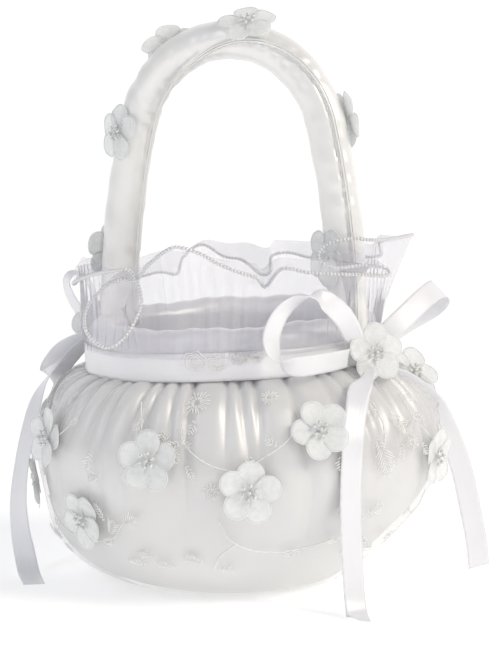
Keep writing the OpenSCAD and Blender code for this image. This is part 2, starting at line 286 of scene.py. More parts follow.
def satin(name, light, dark, sheen_tint="fffaf2", roughness=0.34):
    """Polyester satin: long floats of filament give a soft bright gloss across the weave.
    Threads are 0.1 mm, drawn as 0.5 mm ribs so that they show."""
    cloth = new_material(name)
    uv = add_node(cloth, "UVMap", uv_map="cloth").outputs[0]
    where = add_node(cloth, "TexCoord").outputs["Object"]
    cloudy = add_node(cloth, "TexNoise", {"Vector": where, "Scale": 28, "Detail": 3})
    tint = add_node(cloth, "Mix", {0: cloudy.outputs["Fac"], 6: linear(dark), 7: linear(light)},
                    data_type="RGBA")
    ribs = add_node(cloth, "TexWave", {"Vector": uv, "Scale": 1 / (0.5 * MM) / 20, "Distortion": 1.2,
                                       "Detail": 2}, bands_direction="Y")
    slubs = add_node(cloth, "TexNoise", {"Vector": where, "Scale": 420, "Detail": 4, "Roughness": 0.65})
    weave = add_node(cloth, "Math", {0: slubs.outputs["Fac"], 1: 0.35, 2: ribs.outputs["Fac"]},
                     operation="MULTIPLY_ADD")
    relief = add_node(cloth, "Bump", {"Height": weave.outputs[0], "Strength": 0.07, "Distance": 0.0002})
    gloss = add_node(cloth, "MapRange", {"Value": slubs.outputs["Fac"],
                                         3: roughness - 0.03, 4: roughness + 0.05})
    skin = add_node(cloth, "BsdfPrincipled", {
        "Base Color": tint.outputs[2], "Roughness": gloss.outputs[0], "Normal": relief.outputs[0],
        "Metallic": 0.24, "Specular IOR Level": 0.7, "Anisotropic": 0.5,
        "Sheen Weight": 0.1, "Sheen Roughness": 0.4, "Sheen Tint": linear(sheen_tint)})
    add_node(cloth, "OutputMaterial", {"Surface": skin.outputs[0]})
    return cloth


cover_satin = satin("ivory_satin", "eeeeeb", "e5e5e4")
turns = np.linspace(-180, 180, 560, endpoint=False)
cover_rows = [cover_at(turns, level) for level in np.linspace(0, 1, 80)]
neck_row = cover_rows[-1]
for rise in (0.35, 0.7, 1.0):
    upper = neck_row.copy()
    upper[:, 2] += rise * (cover_top_z - neck_z - 1 * MM)
    cover_rows.append(upper)
underside = []
for share in (0.25, 0.5, 0.75, 0.92):
    ring = cover_rows[0].copy()
    ring[:, :2] *= share
    underside.append(ring)
cover = grid_mesh("satin_cover_gathered", underside + cover_rows, cap_low=True)
thicken(cover, SATIN_THICK)
dress(cover, cover_satin)
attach(cover, "basket")
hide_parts("satin_cover")


# ---- Wadding -------------------------------------------------------------------------
# Loose polyester wadding fills the space between the bowl and the satin and
# gives the body its puff. It is stuffed in by hand, so it is lumpy.

def ring_at(angles, r, z):
    """A ring of points round the basket. Its radius and height may differ from angle to angle."""
    return np.stack([r * np.cos(angles), r * np.sin(angles), z + np.zeros_like(angles)], axis=-1)


def face_outwards(piece, weld=0.0):
    """Turns a closed piece's faces outwards, once points nearer than weld are merged."""
    only(piece)
    bpy.ops.object.mode_set(mode="EDIT")
    bpy.ops.mesh.select_all(action="SELECT")
    if weld:
        bpy.ops.mesh.remove_doubles(threshold=weld)
    bpy.ops.mesh.normals_make_consistent(inside=False)
    bpy.ops.object.mode_set(mode="OBJECT")


# Polyester fibre fill is matt white, with tangled fibres that scatter light.
wadding_white = mottled("polyester_fibre_fill", "fafaf8", "dededc",
                        {"Scale": 260, "Detail": 8, "Roughness": 0.75},
                        {"Roughness": 1.0, "Sheen Weight": 0.4}, relief=(0.8, 0.001))
form_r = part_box("basket_form")[1][0]
form_low_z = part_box("basket_form")[0][2]
fill_turns = np.linspace(-180, 180, 240, endpoint=False)
fill_rows = [cover_at(fill_turns, t, out=-1.2 * MM) for t in np.linspace(0.03, 1, 48)]
fill_top = fill_rows[-1][:, 2].max() + 10 * MM
fill_a = np.radians(fill_turns)
hollow_r = form_r + 0.5 * MM        # the hollow that the bowl sits in
hollow_z = 38 * MM                  # the height under which it rounds in to the base
for r, z in ((neck_r - 3 * MM, fill_top), (form_r + 6 * MM, fill_top + 1 * MM), (hollow_r, fill_top),
             (hollow_r, 60 * MM), (hollow_r, hollow_z)):
    fill_rows.append(ring_at(fill_a, r, z))
for step in np.linspace(0.1, 1, 8):
    r = hollow_r - (form_r - base_r + 4 * MM) * (1 - math.cos(step * math.pi / 2))
    z = hollow_z - (hollow_z - form_low_z + 0.6 * MM) * math.sin(step * math.pi / 2)
    fill_rows.append(ring_at(fill_a, r, z))
fill_rows.append(fill_rows[0])
wadding = grid_mesh("wadding_fill", fill_rows)
face_outwards(wadding, weld=0.00005)
dress(wadding, wadding_white)
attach(wadding, "basket")
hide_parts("wadding")


# ---- Embroidered organza overlay -----------------------------------------------------
# A sheer organza bag, gathered with the satin and standing a little off it.
# Vines and leaf sprigs are stitched on it in glossy rayon thread.

def organza(name, colour, shade, opacity, roughness=0.45):
    """Organza: a crisp sheer plain weave of fine twisted filament, with a faint sparkle.
    Threads are 0.25 mm apart, drawn at 0.45 mm so that they show."""
    cloth = new_material(name)
    uv = add_node(cloth, "UVMap", uv_map="cloth").outputs[0]
    where = add_node(cloth, "TexCoord").outputs["Object"]
    bands = {"Vector": uv, "Scale": 1 / (0.45 * MM) / 20, "Distortion": 0.6}
    warp = add_node(cloth, "TexWave", bands, bands_direction="X")
    weft = add_node(cloth, "TexWave", bands, bands_direction="Y")
    grid = add_node(cloth, "Math", {0: warp.outputs["Fac"], 1: weft.outputs["Fac"]}, operation="MAXIMUM")
    cloudy = add_node(cloth, "TexNoise", {"Vector": where, "Scale": 40, "Detail": 3})
    mixed = add_node(cloth, "Math", {0: grid.outputs[0], 1: cloudy.outputs["Fac"]}, operation="MULTIPLY")
    sheer = add_node(cloth, "MapRange", {"Value": mixed.outputs[0], 1: 0.1, 2: 0.6,
                                         3: opacity * 0.95, 4: opacity * 1.06})
    tint = add_node(cloth, "Mix", {0: cloudy.outputs["Fac"], 6: linear(shade), 7: linear(colour)},
                    data_type="RGBA")
    relief = add_node(cloth, "Bump", {"Height": grid.outputs[0], "Strength": 0.05, "Distance": 0.0002})
    skin = add_node(cloth, "BsdfPrincipled", {
        "Base Color": tint.outputs[2], "Roughness": roughness, "Alpha": sheer.outputs[0],
        "Normal": relief.outputs[0], "Sheen Weight": 0.3})
    add_node(cloth, "OutputMaterial", {"Surface": skin.outputs[0]})
    return cloth


overlay_organza = organza("sheer_organza_overlay", "ffffff", "f6f6f8", 0.14)
overlay_turns = np.linspace(-180, 180, 480, endpoint=False)


def overlay_out(azimuth, t):
    """How far the sheer layer stands off the satin: more low down, where it hangs loose."""
    view = np.radians(turned(azimuth))
    loose = 1.4 + 1.1 * np.sin(2 * view + 2.6) ** 2 + 0.5 * np.sin(7 * view)
    return (0.8 + loose * ease(1.0, 0.75, t) * ease(0.02, 0.2, t)) * MM


OVERLAY_PLEATS = 0.8      # the sheer layer follows the satin's gathers this far
overlay_rows = [cover_at(overlay_turns, t, overlay_out(overlay_turns, t), OVERLAY_PLEATS)
                for t in np.linspace(0.1, 1, 64)]
upper = overlay_rows[-1].copy()
upper[:, 2] += 5 * MM
overlay_rows.append(upper)
overlay = grid_mesh("organza_overlay_sheer", overlay_rows)
thicken(overlay, 0.25 * MM, 1)
dress(overlay, overlay_organza)
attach(overlay, "basket")
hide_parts("organza_overlay")


# ---- Embroidery ----------------------------------------------------------------------
# Trailing vines, leaf sprigs and small rosettes in white rayon thread, stitched
# by machine on the sheer layer. Each stitch is one short raised float of thread.

def on_sheer(view, z_mm, lift=0.5):
    """A point just over the sheer layer, by the angle from the front and the height in mm."""
    azimuth = view - 90 + VIEW_TURN
    t = height_to_t(z_mm * MM)
    return cover_at(azimuth, t, overlay_out(azimuth, t) + lift * MM, OVERLAY_PLEATS)


def surface_frame(view, z_mm):
    """Where a place on the sheer layer is, with its sideways, upward and outward directions."""
    here = on_sheer(view, z_mm)
    side = on_sheer(view + 1, z_mm) - on_sheer(view - 1, z_mm)
    up = on_sheer(view, z_mm + 1) - on_sheer(view, z_mm - 1)
    side, up = side / np.linalg.norm(side), up / np.linalg.norm(up)
    out = np.cross(side, up)
    return here, side, up, out / np.linalg.norm(out)


def between(a, b, c, d, f):
    """A point on the smooth curve through four others, f of the way from b to c."""
    return 0.5 * (2 * b + (c - a) * f + (2 * a - 5 * b + 4 * c - d) * f * f
                  + (3 * b - a - 3 * c + d) * f ** 3)


def through(points, count):
    """A smooth open curve through a few given points."""
    points = np.asarray(points, float)
    padded = np.vstack([2 * points[0] - points[1], points, 2 * points[-1] - points[-2]])
    spans = len(points) - 1
    found = []
    for place in np.linspace(0, spans, count):
        i = min(int(place), spans - 1)
        found.append(between(*padded[i:i + 4], place - i))
    return np.array(found)


def tube_rows(path, radius, sides=6):
    """Rings of points round a path, for a thread or a cord."""
    path = np.asarray(path, float)
    along = np.gradient(path, axis=0)
    along /= np.linalg.norm(along, axis=1)[:, None] + 1e-12
    hint = np.cross(along[0], [0.3, 0.2, 0.9])
    rings = []
    for point, way in zip(path, along):
        hint = hint - way * hint.dot(way)
        hint = hint / np.linalg.norm(hint)
        other = np.cross(way, hint)
        ring = [point + radius * (math.cos(k * 2 * math.pi / sides) * hint
                                  + math.sin(k * 2 * math.pi / sides) * other) for k in range(sides)]
        rings.append(ring)
    return rings


class Stitchwork:
    """Gathers many small closed shapes into one mesh."""

    def __init__(self):
        self.points, self.faces = [], []

    def joined(self, rings):
        """Adds one closed shape, given as rings of points from end to end."""
        first, sides = len(self.points), len(rings[0])
        for ring in rings:
            self.points += [tuple(p) for p in ring]
        for i in range(len(rings) - 1):
            for k in range(sides):
                a, b = first + i * sides + k, first + i * sides + (k + 1) % sides
                self.faces.append((a, b, b + sides, a + sides))
        self.faces.append(tuple(first + k for k in range(sides - 1, -1, -1)))
        last = first + (len(rings) - 1) * sides
        self.faces.append(tuple(last + k for k in range(sides)))

    def tube(self, path, radius, sides=6):
        self.joined(tube_rows(path, radius, sides))

    def stitch(self, start, end, out, radius, sides=5):
        """One float of thread: a thin bar that dives into the cloth at both ends."""
        start, end, out = np.asarray(start), np.asarray(end), np.asarray(out)
        middle = (start + end) / 2 + out * radius * 0.9
        way = (end - start) / (np.linalg.norm(end - start) + 1e-9)
        across = np.cross(out, way)
        turns_round = [2 * math.pi * k / sides for k in range(sides)]
        self.joined([[centre + radius * size * (math.cos(turn) * across + math.sin(turn) * out)
                      for turn in turns_round]
                     for centre, size in ((start - out * radius, 0.35), (middle * 0.6 + start * 0.4, 1.0),
                                          (middle * 0.6 + end * 0.4, 1.0), (end - out * radius, 0.35))])

    def piece(self, name, material):
        mesh = bpy.data.meshes.new(name)
        mesh.from_pydata([tuple(map(float, p)) for p in self.points], [], self.faces)
        mesh.validate()
        mesh.polygons.foreach_set("use_smooth", [True] * len(mesh.polygons))
        made = bpy.data.objects.new(name, mesh)
        bpy.context.collection.objects.link(made)
        face_outwards(made)
        dress(made, material)
        return made


def rayon_thread(name):
    """Embroidery rayon: a bright glossy filament with a fine twist."""
    return mottled(name, "ffffff", "f4f3ee", {"Scale": 1400, "Detail": 3},
                   {"Roughness": 0.3, "Specular IOR Level": 0.9, "Sheen Weight": 0.6}, relief=(0.5, 0.0002))


thread_rng = np.random.default_rng(5)
embroidery = Stitchwork()


def vine(places, radius=0.27):
    """A stem in back stitch, along places given as angle from the front and height in mm."""
    line = through(places, 14 * len(places))
    path = [on_sheer(view, z, 0.45) for view, z in line]
    embroidery.tube(path, radius * MM)
    for i in range(0, len(path) - 4, 4):
        out = surface_frame(*line[i])[3]
        embroidery.stitch(path[i], path[i + 3], out, 0.4 * MM)


def sprig(view, z_mm, heading, length, width):
    """A leaf in open fishbone stitch: slanting floats, 1.8 mm apart, on both sides of a spine."""
    here, side, up, out = surface_frame(view, z_mm)
    turn = math.radians(heading)
    along = math.cos(turn) * side + math.sin(turn) * up
    across = np.cross(out, along)
    rows = round(length / 1.8)
    for i in range(rows):
        share = (i + 0.5) / rows
        reach = width / 2 * math.sin(math.pi * share ** 0.8) * thread_rng.uniform(0.8, 1.3)
        spine = here + along * length * share * MM
        for hand in (-1, 1):
            tip = spine + (along * 0.9 + across * hand) * reach * MM * thread_rng.uniform(0.85, 1.1)
            embroidery.stitch(spine - out * 0.1 * MM, tip, out, 0.36 * MM)


def rosette(view, z_mm, radius, rays=18):
    """A starburst of long and short floats round an eyelet."""
    here, side, up, out = surface_frame(view, z_mm)
    for k in range(rays * 2):
        turn = math.pi * k / rays + thread_rng.uniform(-0.08, 0.08)
        ray = math.cos(turn) * side + math.sin(turn) * up
        near, far = (0.22, 0.62) if k % 2 else (0.5, 1.0)
        embroidery.stitch(here + ray * radius * near * MM,
                          here + ray * radius * far * thread_rng.uniform(0.85, 1.12) * MM, out, 0.3 * MM)


# One repeat of the pattern covers a fifth of the body. It is stitched five
# times round, and gathering shifts each repeat a little.
for repeat in range(5):
    shift = 72 * repeat
    lift = (0, 3, -2, 2, -3)[repeat]
    for view, z, radius, rays in ((-10, 118, 7.5, 20), (12, 119, 5, 14), (-5, 72, 5, 12)):
        rosette(shift + view, z + lift, radius, rays)
    for stem in ([(-14, 109), (-13, 98), (-6, 87), (3, 82)], [(3, 82), (9, 90), (16, 99), (19, 108)],
                 [(-3, 56), (0, 45), (8, 38), (20, 37), (34, 43), (40, 54)],
                 [(2, 43), (-3, 35), (-5, 27 - lift)]):
        vine([(shift + view, z + lift) for view, z in stem])
    for view, z, heading, length, width in (
            (-17, 101, 200, 9, 7), (-14, 99, -20, 8, 6), (-20, 88, 240, 11, 7), (-12, 86, -60, 9, 6),
            (4, 84, 60, 8, 6), (13, 96, 150, 8, 6), (18, 104, 20, 8, 6), (-8, 31, 160, 12, 8),
            (-4, 27, -10, 10, 6), (34, 46, 60, 12, 9), (40, 55, 20, 12, 8), (33, 53, 120, 12, 8),
            (29, 40, 10, 10, 6), (-24, 33, 170, 10, 6), (-27, 28, 175, 13, 7), (-17, 27, 165, 13, 7),
            (-10, 110, 250, 9, 7), (-14, 98, 210, 10, 8), (22, 36, -160, 9, 5), (-38, 76, 200, 10, 7),
            (-41, 88, 250, 11, 7)):
        sprig(shift + view, z + lift, heading, length, width)
    vine([(shift + 44, 118), (shift + 46, 104), (shift + 45, 92), (shift + 42, 84)])
    for view, z, heading, length, width in (
            (43, 96, -80, 24, 11), (46, 110, -120, 9, 6), (53, 104, -100, 12, 8)):
        sprig(shift + view, z, heading, length, width)
    rosette(shift + 56, 90, 5)
stitching = embroidery.piece("embroidered_vines", rayon_thread("rayon_thread"))
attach(stitching, "basket")


# ---- Satin lining --------------------------------------------------------------------
# The lining is a bag of cool white satin inside the bowl. It rolls over the
# padded rim and is sewn down behind the ruffle. A loose round pad lies in it.

lining_satin = satin("white_lining_satin", "e9e8ea", "dcdbe0", "f4f4ff", 0.4)
rim_top_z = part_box("satin_lining")[1][2]
mouth_r = form_r - 3.2 * MM
roll_r = (neck_r - mouth_r) / 2
roll_z = rim_top_z - roll_r + 2 * MM
lining_turns = np.linspace(-180, 180, 300, endpoint=False)
lining_a = np.radians(lining_turns)
lining_rows = []
lining_floor = form_low_z + 2.6 * MM
foot_r = 43 * MM          # where the lining's flat floor starts to turn up
for r in (2, 14, 28, 38):
    lining_rows.append(ring_at(lining_a, r * MM, lining_floor))
for step in np.linspace(0, 90, 10):
    s, c = math.sin(math.radians(step)), math.cos(math.radians(step))
    lining_rows.append(ring_at(lining_a, foot_r + (mouth_r - foot_r) * s, lining_floor + 30 * MM * (1 - c)))
for z in np.linspace(44, 128, 14):
    puckers = 0.7 * np.sin(26 * lining_a + z * 0.05) * ease(70, 128, z)
    lining_rows.append(ring_at(lining_a, mouth_r - 0.4 * MM + puckers * MM * 0.6, z * MM))
for step in np.linspace(0, 180, 20):
    c, s = math.cos(math.radians(step)), math.sin(math.radians(step))
    puffed = 1 + 0.06 * np.sin(9 * lining_a + 0.6) + 0.035 * np.sin(31 * lining_a)
    height = roll_z + (roll_r + 2.5 * MM) * s * puffed
    lining_rows.append(ring_at(lining_a, mouth_r + roll_r - roll_r * c,
                               height + neck_lift(lining_turns) * ease(0, 60, step)))
for fall in np.linspace(0.2, 1, 5):
    seam_z = neck_z + 11 * MM
    low_end = roll_z * (1 - fall) + seam_z * fall
    lining_rows.append(ring_at(lining_a, neck_r + 0.3 * MM, low_end + neck_lift(lining_turns)))
lining = grid_mesh("satin_lining_rolled", lining_rows, cap_low=True)
only(lining)
bpy.ops.object.mode_set(mode="EDIT")
bpy.ops.mesh.select_all(action="SELECT")
bpy.ops.mesh.flip_normals()
bpy.ops.object.mode_set(mode="OBJECT")
thicken(lining, SATIN_THICK, 0)
dress(lining, lining_satin)
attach(lining, "basket")
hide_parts("satin_lining")


def project_uv(piece, lay):
    """Gives a piece its UV, in metres, from where each of its points lies."""
    layer = piece.data.uv_layers.new(name="cloth")
    for loop in piece.data.loops:
        layer.data[loop.index].uv = lay(piece.data.vertices[loop.vertex_index].co)


pad_low, pad_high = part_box("floor_pad")
bpy.ops.object.select_all(action="DESELECT")
bpy.ops.mesh.primitive_cylinder_add(vertices=96, radius=pad_high[0], depth=pad_high[2] - pad_low[2],
                                    location=(0, 0, (pad_low[2] + pad_high[2]) / 2))
floor_pad = bpy.context.object
floor_pad.name = "floor_pad_satin"
bpy.ops.object.transform_apply(location=True)
bpy.ops.object.mode_set(mode="EDIT")
bpy.ops.mesh.select_mode(type="FACE")
bpy.ops.mesh.select_all(action="DESELECT")
bpy.ops.object.mode_set(mode="OBJECT")
for face in floor_pad.data.polygons:
    face.select = abs(face.normal.z) > 0.9
bpy.ops.object.mode_set(mode="EDIT")
bpy.ops.mesh.inset(thickness=3 * MM)
bpy.ops.mesh.inset(thickness=14 * MM)
bpy.ops.mesh.select_all(action="DESELECT")
bpy.ops.object.mode_set(mode="OBJECT")
edge_r = pad_high[0] - 1 * MM
for edge in floor_pad.data.edges:
    ends = [floor_pad.data.vertices[v].co for v in edge.vertices]
    edge.select = all(math.hypot(p.x, p.y) > edge_r for p in ends) and abs(ends[0].z - ends[1].z) < 1e-6
bpy.ops.object.mode_set(mode="EDIT")
bpy.ops.mesh.select_mode(type="EDGE")
bpy.ops.object.mode_set(mode="OBJECT")
bpy.ops.object.mode_set(mode="EDIT")
bpy.ops.mesh.bevel(offset=1.2 * MM, segments=4)
bpy.ops.object.mode_set(mode="OBJECT")
bpy.ops.object.shade_smooth_by_angle(angle=math.radians(40))
project_uv(floor_pad, lambda place: (place.x, place.y))
dress(floor_pad, lining_satin)
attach(floor_pad, "basket")
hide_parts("floor_pad")


# ---- Rim ribbon ----------------------------------------------------------------------
# A band of 16 mm white satin ribbon, sewn round the rim over the gathers. Its
# woven edges are a little thicker than its middle.

def ribbon_satin(name, light, dark, width):
    """Single-face satin ribbon: cool white, glossy along its length, with woven edges.
    Threads are 0.1 mm, drawn as 0.4 mm ribs so that they show."""
    cloth = new_material(name)
    uv = add_node(cloth, "UVMap", uv_map="cloth").outputs[0]
    where = add_node(cloth, "TexCoord").outputs["Object"]
    split = add_node(cloth, "SeparateXYZ", {"Vector": uv})
    centre = add_node(cloth, "Math", {0: split.outputs["Y"], 1: width / 2}, operation="SUBTRACT")
    off = add_node(cloth, "Math", {0: centre.outputs[0]}, operation="ABSOLUTE")
    edge = add_node(cloth, "MapRange", {"Value": off.outputs[0],
                                        1: width / 2 - 1.0 * MM, 2: width / 2 - 0.5 * MM})
    picots = add_node(cloth, "TexWave", {"Vector": uv, "Scale": 1 / (1.1 * MM) / 20, "Distortion": 0.3},
                      bands_direction="X")
    ribs = add_node(cloth, "TexWave", {"Vector": uv, "Scale": 1 / (0.4 * MM) / 20, "Distortion": 0.8},
                    bands_direction="Y")
    cloudy = add_node(cloth, "TexNoise", {"Vector": where, "Scale": 60, "Detail": 3})
    tint = add_node(cloth, "Mix", {0: cloudy.outputs["Fac"], 6: linear(dark), 7: linear(light)},
                    data_type="RGBA")
    selvedge = add_node(cloth, "Math", {0: edge.outputs[0], 1: picots.outputs["Fac"]}, operation="MULTIPLY")
    edged = add_node(cloth, "Mix", {0: selvedge.outputs[0], 6: tint.outputs[2], 7: linear("ffffff")},
                     data_type="RGBA")
    height = add_node(cloth, "Math", {0: selvedge.outputs[0], 1: 3.0, 2: ribs.outputs["Fac"]},
                      operation="MULTIPLY_ADD")
    relief = add_node(cloth, "Bump", {"Height": height.outputs[0], "Strength": 0.12, "Distance": 0.0002})
    skin = add_node(cloth, "BsdfPrincipled", {
        "Base Color": edged.outputs[2], "Metallic": 0.05, "Roughness": 0.34, "Normal": relief.outputs[0],
        "Specular IOR Level": 0.6, "Anisotropic": 0.4, "Sheen Weight": 0.2})
    add_node(cloth, "OutputMaterial", {"Surface": skin.outputs[0]})
    return cloth


rim_ribbon_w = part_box("rim_ribbon")[1][2] - neck_z
band_turns = np.linspace(-180, 180, 360, endpoint=False)
band_a = np.radians(band_turns)
band_rows = []
for share in np.linspace(0, 1, 9):
    bulge = (0.5 * math.sin(math.pi * share) + 0.45 * np.sin(5 * band_a + 1)
             + 0.3 * np.sin(13 * band_a + 3 * share))
    r = neck_r + (1.1 + bulge) * MM + 0.6 * MM * ease(0.25, 0, share)
    z = neck_z + neck_lift(band_turns) + share * rim_ribbon_w + 0.4 * MM * np.sin(4 * band_a)
    band_rows.append(ring_at(band_a, r, z))
band = grid_mesh("rim_ribbon_band", band_rows)
thicken(band, 0.45 * MM, 1)
dress(band, ribbon_satin("white_satin_band", "fcfbfc", "f4f4f6", rim_ribbon_w))
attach(band, "basket")
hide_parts("rim_ribbon")


# ---- Lace edging ---------------------------------------------------------------------
# A short scrap of corded lace shows under the ruffle in front. It is stitched
# to the rim ribbon's face, and only its ringed outlines stand up from it.

def round_place(view, r_mm, z_mm):
    """A point by its angle from the front, radius and height in mm."""
    a = math.radians(view - 90 + VIEW_TURN)
    return np.array([r_mm * math.cos(a), r_mm * math.sin(a), z_mm]) * MM


lace = Stitchwork()
lace_out = neck_r / MM + 3.6
for middle_view, middle_z, wide, high in (
        (-13, 140, 7, 5.5), (-5, 138, 6, 4), (3, 140.5, 5, 3), (10, 141, 4, 2.4)):
    lace_lift = float(neck_lift(middle_view - 90 + VIEW_TURN)) / MM
    for ring in (1.0, 0.72, 0.5):
        loop_path = []
        for k in range(25):
            bend = 2 * math.pi * k / 24
            z = middle_z + ring * (high * math.sin(bend) + 0.7 * math.sin(6 * bend)) + lace_lift
            loop_path.append(round_place(middle_view + ring * wide / 1.6 * math.cos(bend),
                                         lace_out + 0.3 * math.sin(9 * bend), z))
        lace.tube(loop_path, 0.28 * MM, 5)
lace_scrap = lace.piece("lace_edging_scrap", rayon_thread("lace_thread"))
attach(lace_scrap, "basket")


# ---- Ruffle --------------------------------------------------------------------------
# A strip of sheer white organza 62 mm wide, gathered along its foot and sewn
# inside the rim ribbon's top edge. Its free edge is wired with a cord of beads,
# which throws it into flutes. One flute curls right over at the left handle.

RUFFLE_WIDE = 62
RUFFLE_ROWS, EDGE_STEPS = 25, 1100
FOOT_RIPPLE = 2.2 * MM    # the fine gathers at the foot, which die out towards the free edge
# Where the free edge passes: the foot's angle from the front, then the edge's
# angle, radius and height, in degrees and millimetres.
ruffle_edge = [
    (-80, -72, 94, 178), (-66, -58, 92, 184), (-56, -41, 97, 189), (-51, -35, 95, 188),
    (-46, -29, 101, 173), (-43, -31, 110, 156), (-40, -36, 116, 148), (-37, -43, 117, 156),
    (-35, -46, 111, 168), (-33, -45, 100, 179), (-31, -40, 95, 184), (-29, -34, 94, 184),
    (-26, -27, 98, 194), (-20, -18, 101, 204), (-13, -10, 98, 201), (-7, -4, 95, 195), (0, 3, 93, 190),
    (6, 10, 88, 186), (10, 15, 77, 180), (15, 19, 89, 191), (24, 27, 94, 189), (33, 34, 98, 188),
    (41, 43, 104, 187), (46, 54, 109, 185), (48, 58, 104, 188), (50, 53, 94, 190), (52, 44, 85, 189),
    (54, 40, 78, 194), (57, 44, 77, 201), (60, 51, 87, 205), (66, 64, 96, 203), (76, 84, 106, 203),
    (88, 96, 101, 200), (98, 104, 92, 196), (108, 112, 97, 190), (118, 122, 106, 184),
    (128, 132, 100, 182), (138, 140, 92, 184), (146, 150, 99, 180), (154, 160, 103, 182),
    (160, 165, 96, 180), (164, 163, 81, 172), (168, 168, 85, 170), (172, 176, 98, 177),
    (178, 183, 104, 179), (185, 190, 110, 186), (190, 196, 112, 178), (196, 200, 101, 169),
    (206, 208, 96, 171), (216, 218, 105, 167), (226, 228, 100, 172), (236, 237, 97, 174),
    (246, 247, 98, 173), (256, 257, 93, 176), (266, 269, 91, 174), (273, 280, 93, 175)]


def closed_curve(points, count):
    """A smooth closed curve through given points."""
    points = np.asarray(points, float)
    total = len(points)
    found = []
    for place in np.linspace(0, total, count, endpoint=False):
        i = int(place)
        found.append(between(*(points[(i + k) % total] for k in (-1, 0, 1, 2)), place - i))
    return np.array(found)


edge_line = closed_curve([round_place(view, r, z) for _, view, r, z in ruffle_edge], EDGE_STEPS)
foot_views = closed_curve([(math.cos(math.radians(f)), math.sin(math.radians(f))) for f, *_ in ruffle_edge],
                          EDGE_STEPS)
ruffle_rows = [[] for _ in range(RUFFLE_ROWS)]
for edge_point, (c, s) in zip(edge_line, foot_views):
    view = math.degrees(math.atan2(s, c))
    foot_z = (neck_z + rim_ribbon_w) / MM + float(neck_lift(view - 90 + VIEW_TURN)) / MM - 3
    foot = round_place(view, neck_r / MM + 2.6, foot_z)
    reach = edge_point - foot
    low_h, high_h = 0.0, 60.0
    shares = np.linspace(0, 1, RUFFLE_ROWS)[:, None]
    for _ in range(12):
        h = (low_h + high_h) / 2
        first = foot + reach * 0.15 + np.array([0, 0, 0.012 + h * MM])
        second = edge_point - reach * 0.3 + np.array([0, 0, h * MM])
        line = ((1 - shares) ** 3 * foot + 3 * (1 - shares) ** 2 * shares * first
                + 3 * (1 - shares) * shares ** 2 * second + shares ** 3 * edge_point)
        length = np.linalg.norm(np.diff(line, axis=0), axis=1).sum()
        if length < RUFFLE_WIDE * MM:
            low_h = h
        else:
            high_h = h
    ripple = FOOT_RIPPLE * math.sin(math.radians(70 * view) + 1.6 * math.sin(math.radians(9 * view)))
    ripple = ripple * (1 - shares) ** 2.3
    outward = np.array([foot[0], foot[1], 0]) / np.hypot(foot[0], foot[1])
    for row, point in zip(ruffle_rows, line + outward * ripple * ease(0, 0.08, shares)):
        row.append(point)
ruffle = grid_mesh("ruffle_organza", ruffle_rows)
thicken(ruffle, 0.2 * MM, 0)
dress(ruffle, organza("sheer_organza_ruffle", "fbfbff", "ececf4", 0.14))
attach(ruffle, "basket")
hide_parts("ruffle")


def pearl_coat(name, light, dark, roughness):
    """Pearl coated plastic bead: cool silver white under a clear lacquer."""
    return mottled(name, light, dark, {"Scale": 700, "Detail": 2},
                   {"Metallic": 0.35, "Coat Weight": 0.8, "Coat Roughness": 0.08, "Specular IOR Level": 0.7},
                   gloss=(roughness - 0.04, roughness + 0.06))


def bead_shape(diameter, segments, rings):
    """The points and faces of one bead, made as a sphere and then taken away."""
    bpy.ops.object.select_all(action="DESELECT")
    bpy.ops.mesh.primitive_uv_sphere_add(segments=segments, ring_count=rings, radius=diameter / 2)
    ball = bpy.context.object
    points = np.array([v.co[:] for v in ball.data.vertices])
    faces = [tuple(f.vertices) for f in ball.data.polygons]
    bpy.data.objects.remove(ball)
    return points, faces


def strung(name, places, diameter, material, segments=8, rings=6):
    """Copies of one bead at many places, as one piece."""
    shape, faces = bead_shape(diameter, segments, rings)
    points, found = [], []
    for place in places:
        first = len(points)
        points += (shape + np.asarray(place)).tolist()
        found += [tuple(first + k for k in face) for face in faces]
    mesh = bpy.data.meshes.new(name)
    mesh.from_pydata(points, [], found)
    mesh.polygons.foreach_set("use_smooth", [True] * len(mesh.polygons))
    made = bpy.data.objects.new(name, mesh)
    bpy.context.collection.objects.link(made)
    dress(made, material)
    return made


bead_d, bead_pitch = 2.3 * MM, 2.1 * MM
bead_run = np.concatenate([[0], np.cumsum(np.linalg.norm(np.roll(edge_line, -1, 0) - edge_line, axis=1))])
bead_count = int(bead_run[-1] / bead_pitch)
looped = np.vstack([edge_line, edge_line[:1]])
bead_places = np.stack([np.interp(np.arange(bead_count) * bead_run[-1] / bead_count, bead_run, looped[:, k])
                        for k in range(3)], axis=-1)
beads = strung("ruffle_bead_cord", bead_places, bead_d,
               pearl_coat("pearl_bead_cord", "efefec", "d9dadd", 0.3))
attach(beads, "basket")
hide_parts("ruffle_bead_edge")


# ---- Handle --------------------------------------------------------------------------
# A rod wrapped in wadding and covered with a tube of ivory satin. The cover's
# seam is a raised lip that winds from the inside of the left leg over the front
# to the outside of the right leg, and the satin puckers along it.

tube_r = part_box("handle_cover")[1][1]
arch_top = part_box("handle_cover")[1][2] - tube_r
foot_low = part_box("handle_cover")[0][2]
ARCH_R = 64 * MM
ARCH_TURN = 76
join_x = ARCH_R * math.sin(math.radians(ARCH_TURN))
join_z = arch_top - ARCH_R * (1 - math.cos(math.radians(ARCH_TURN)))
leg_r = (join_z - foot_low) / math.cos(math.radians(ARCH_TURN))


